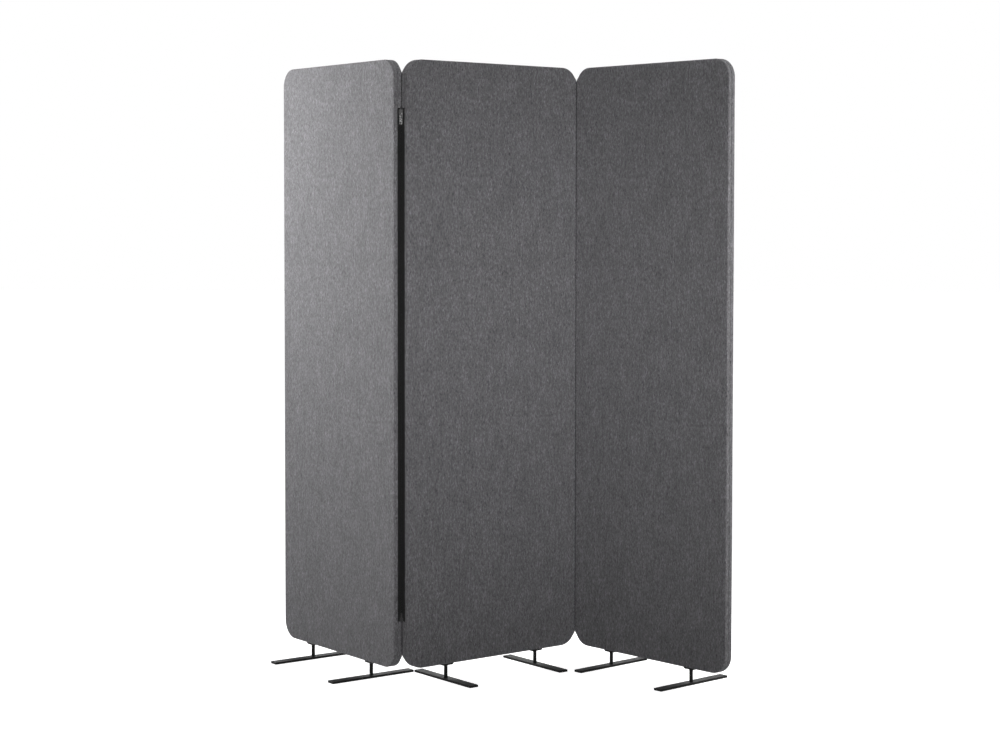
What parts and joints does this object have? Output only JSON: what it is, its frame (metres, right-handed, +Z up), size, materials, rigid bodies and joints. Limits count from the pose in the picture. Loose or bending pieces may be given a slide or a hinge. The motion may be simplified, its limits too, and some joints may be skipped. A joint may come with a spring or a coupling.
{
  "type": "acoustic divider screen",
  "caption": "Free-standing acoustic screen of fabric-covered panels that zip together edge to edge, fold to either side and stand on flat steel feet.",
  "frame": {"origin": "on the floor, under the middle of the folded screen's outline as seen from above", "axes": "+Z up, +X to the right and +Y away from the viewer, seen from the front as the picture has it"},
  "size_m": [1.2706, 0.553, 1.676],
  "materials": {
    "cover_fabric": "matte",
    "felt": "matte",
    "core": "matte",
    "frame_steel": "satin",
    "bush_steel": "satin",
    "foot_black": "matte",
    "screw_steel": "satin",
    "zip_tape": "matte",
    "zip_teeth": "satin",
    "zip_ends": "satin",
    "slider_metal": "satin",
    "pull_metal": "satin"
  },
  "bodies": {
    "middle_panel": {"middle_front_cover": "cover_fabric", "middle_back_cover": "cover_fabric", "middle_front_felt": "felt", "middle_back_felt": "felt", "middle_core": "core", "middle_frame": "frame_steel", "middle_foot_bushes": "bush_steel", "middle_foot_a_bar": "foot_black", "middle_foot_a_post": "foot_black", "middle_foot_b_bar": "foot_black", "middle_foot_b_post": "foot_black", "middle_foot_screws": "screw_steel"},
    "left_panel": {"left_front_cover": "cover_fabric", "left_back_cover": "cover_fabric", "left_front_felt": "felt", "left_back_felt": "felt", "left_core": "core", "left_frame": "frame_steel", "left_foot_bushes": "bush_steel", "left_foot_a_bar": "foot_black", "left_foot_a_post": "foot_black", "left_foot_b_bar": "foot_black", "left_foot_b_post": "foot_black", "left_foot_screws": "screw_steel"},
    "right_panel": {"right_front_cover": "cover_fabric", "right_back_cover": "cover_fabric", "right_front_felt": "felt", "right_back_felt": "felt", "right_core": "core", "right_frame": "frame_steel", "right_foot_bushes": "bush_steel", "right_foot_a_bar": "foot_black", "right_foot_a_post": "foot_black", "right_foot_b_bar": "foot_black", "right_foot_b_post": "foot_black", "right_foot_screws": "screw_steel"},
    "left_zip": {"left_zip_tape_a": "zip_tape", "left_zip_tape_b": "zip_tape", "left_zip_teeth_a": "zip_teeth", "left_zip_teeth_b": "zip_teeth", "left_zip_box": "zip_ends", "left_zip_pin": "zip_ends", "left_zip_stops": "zip_ends"},
    "left_slider": {"left_zip_slider": "slider_metal"},
    "left_pull": {"left_zip_pull": "pull_metal"},
    "right_zip": {"right_zip_tape_a": "zip_tape", "right_zip_tape_b": "zip_tape", "right_zip_teeth_a": "zip_teeth", "right_zip_teeth_b": "zip_teeth", "right_zip_box": "zip_ends", "right_zip_pin": "zip_ends", "right_zip_stops": "zip_ends"},
    "right_slider": {"right_zip_slider": "slider_metal"},
    "right_pull": {"right_zip_pull": "pull_metal"}
  },
  "joints": [
    {"name": "left_fold", "type": "hinge", "parent": "middle_panel", "child": "left_zip", "pos_m": [-0.24078, -0.19718, 0.8605], "axis": [0, 0, -1], "range_deg": [-91.5, 0]},
    {"name": "left_fold_outer", "type": "hinge", "parent": "left_zip", "child": "left_panel", "pos_m": [-0.25759, -0.19496, 0.8605], "axis": [0, 0, -1], "range_deg": [-91.5, 0]},
    {"name": "right_fold", "type": "hinge", "parent": "middle_panel", "child": "right_zip", "pos_m": [0.2147, 0.1619, 0.8605], "axis": [0, 0, -1], "range_deg": [-88.75, 2.75]},
    {"name": "right_fold_outer", "type": "hinge", "parent": "right_zip", "child": "right_panel", "pos_m": [0.2316, 0.16049, 0.8605], "axis": [0, 0, -1], "range_deg": [-88.75, 2.75]},
    {"name": "left_zip_slide", "type": "slide", "parent": "left_zip", "child": "left_slider", "axis": [0, 0, 1], "range_m": [-1.3404, 0]},
    {"name": "left_pull_swing", "type": "hinge", "parent": "left_slider", "child": "left_pull", "pos_m": [-0.24962, -0.19934, 1.5332], "axis": [-0.9914, 0.1305, 0], "range_deg": [0, 170]},
    {"name": "right_zip_slide", "type": "slide", "parent": "right_zip", "child": "right_slider", "axis": [0, 0, 1], "range_m": [-1.3404, 0]},
    {"name": "right_pull_swing", "type": "hinge", "parent": "right_slider", "child": "right_pull", "pos_m": [0.22342, 0.16448, 1.5332], "axis": [0.9966, -0.0828, 0], "range_deg": [0, 170]}
  ],
  "couplings": [
    {"joint": "left_fold_outer", "follows": "left_fold", "ratio": 1},
    {"joint": "right_fold_outer", "follows": "right_fold", "ratio": 1}
  ]
}
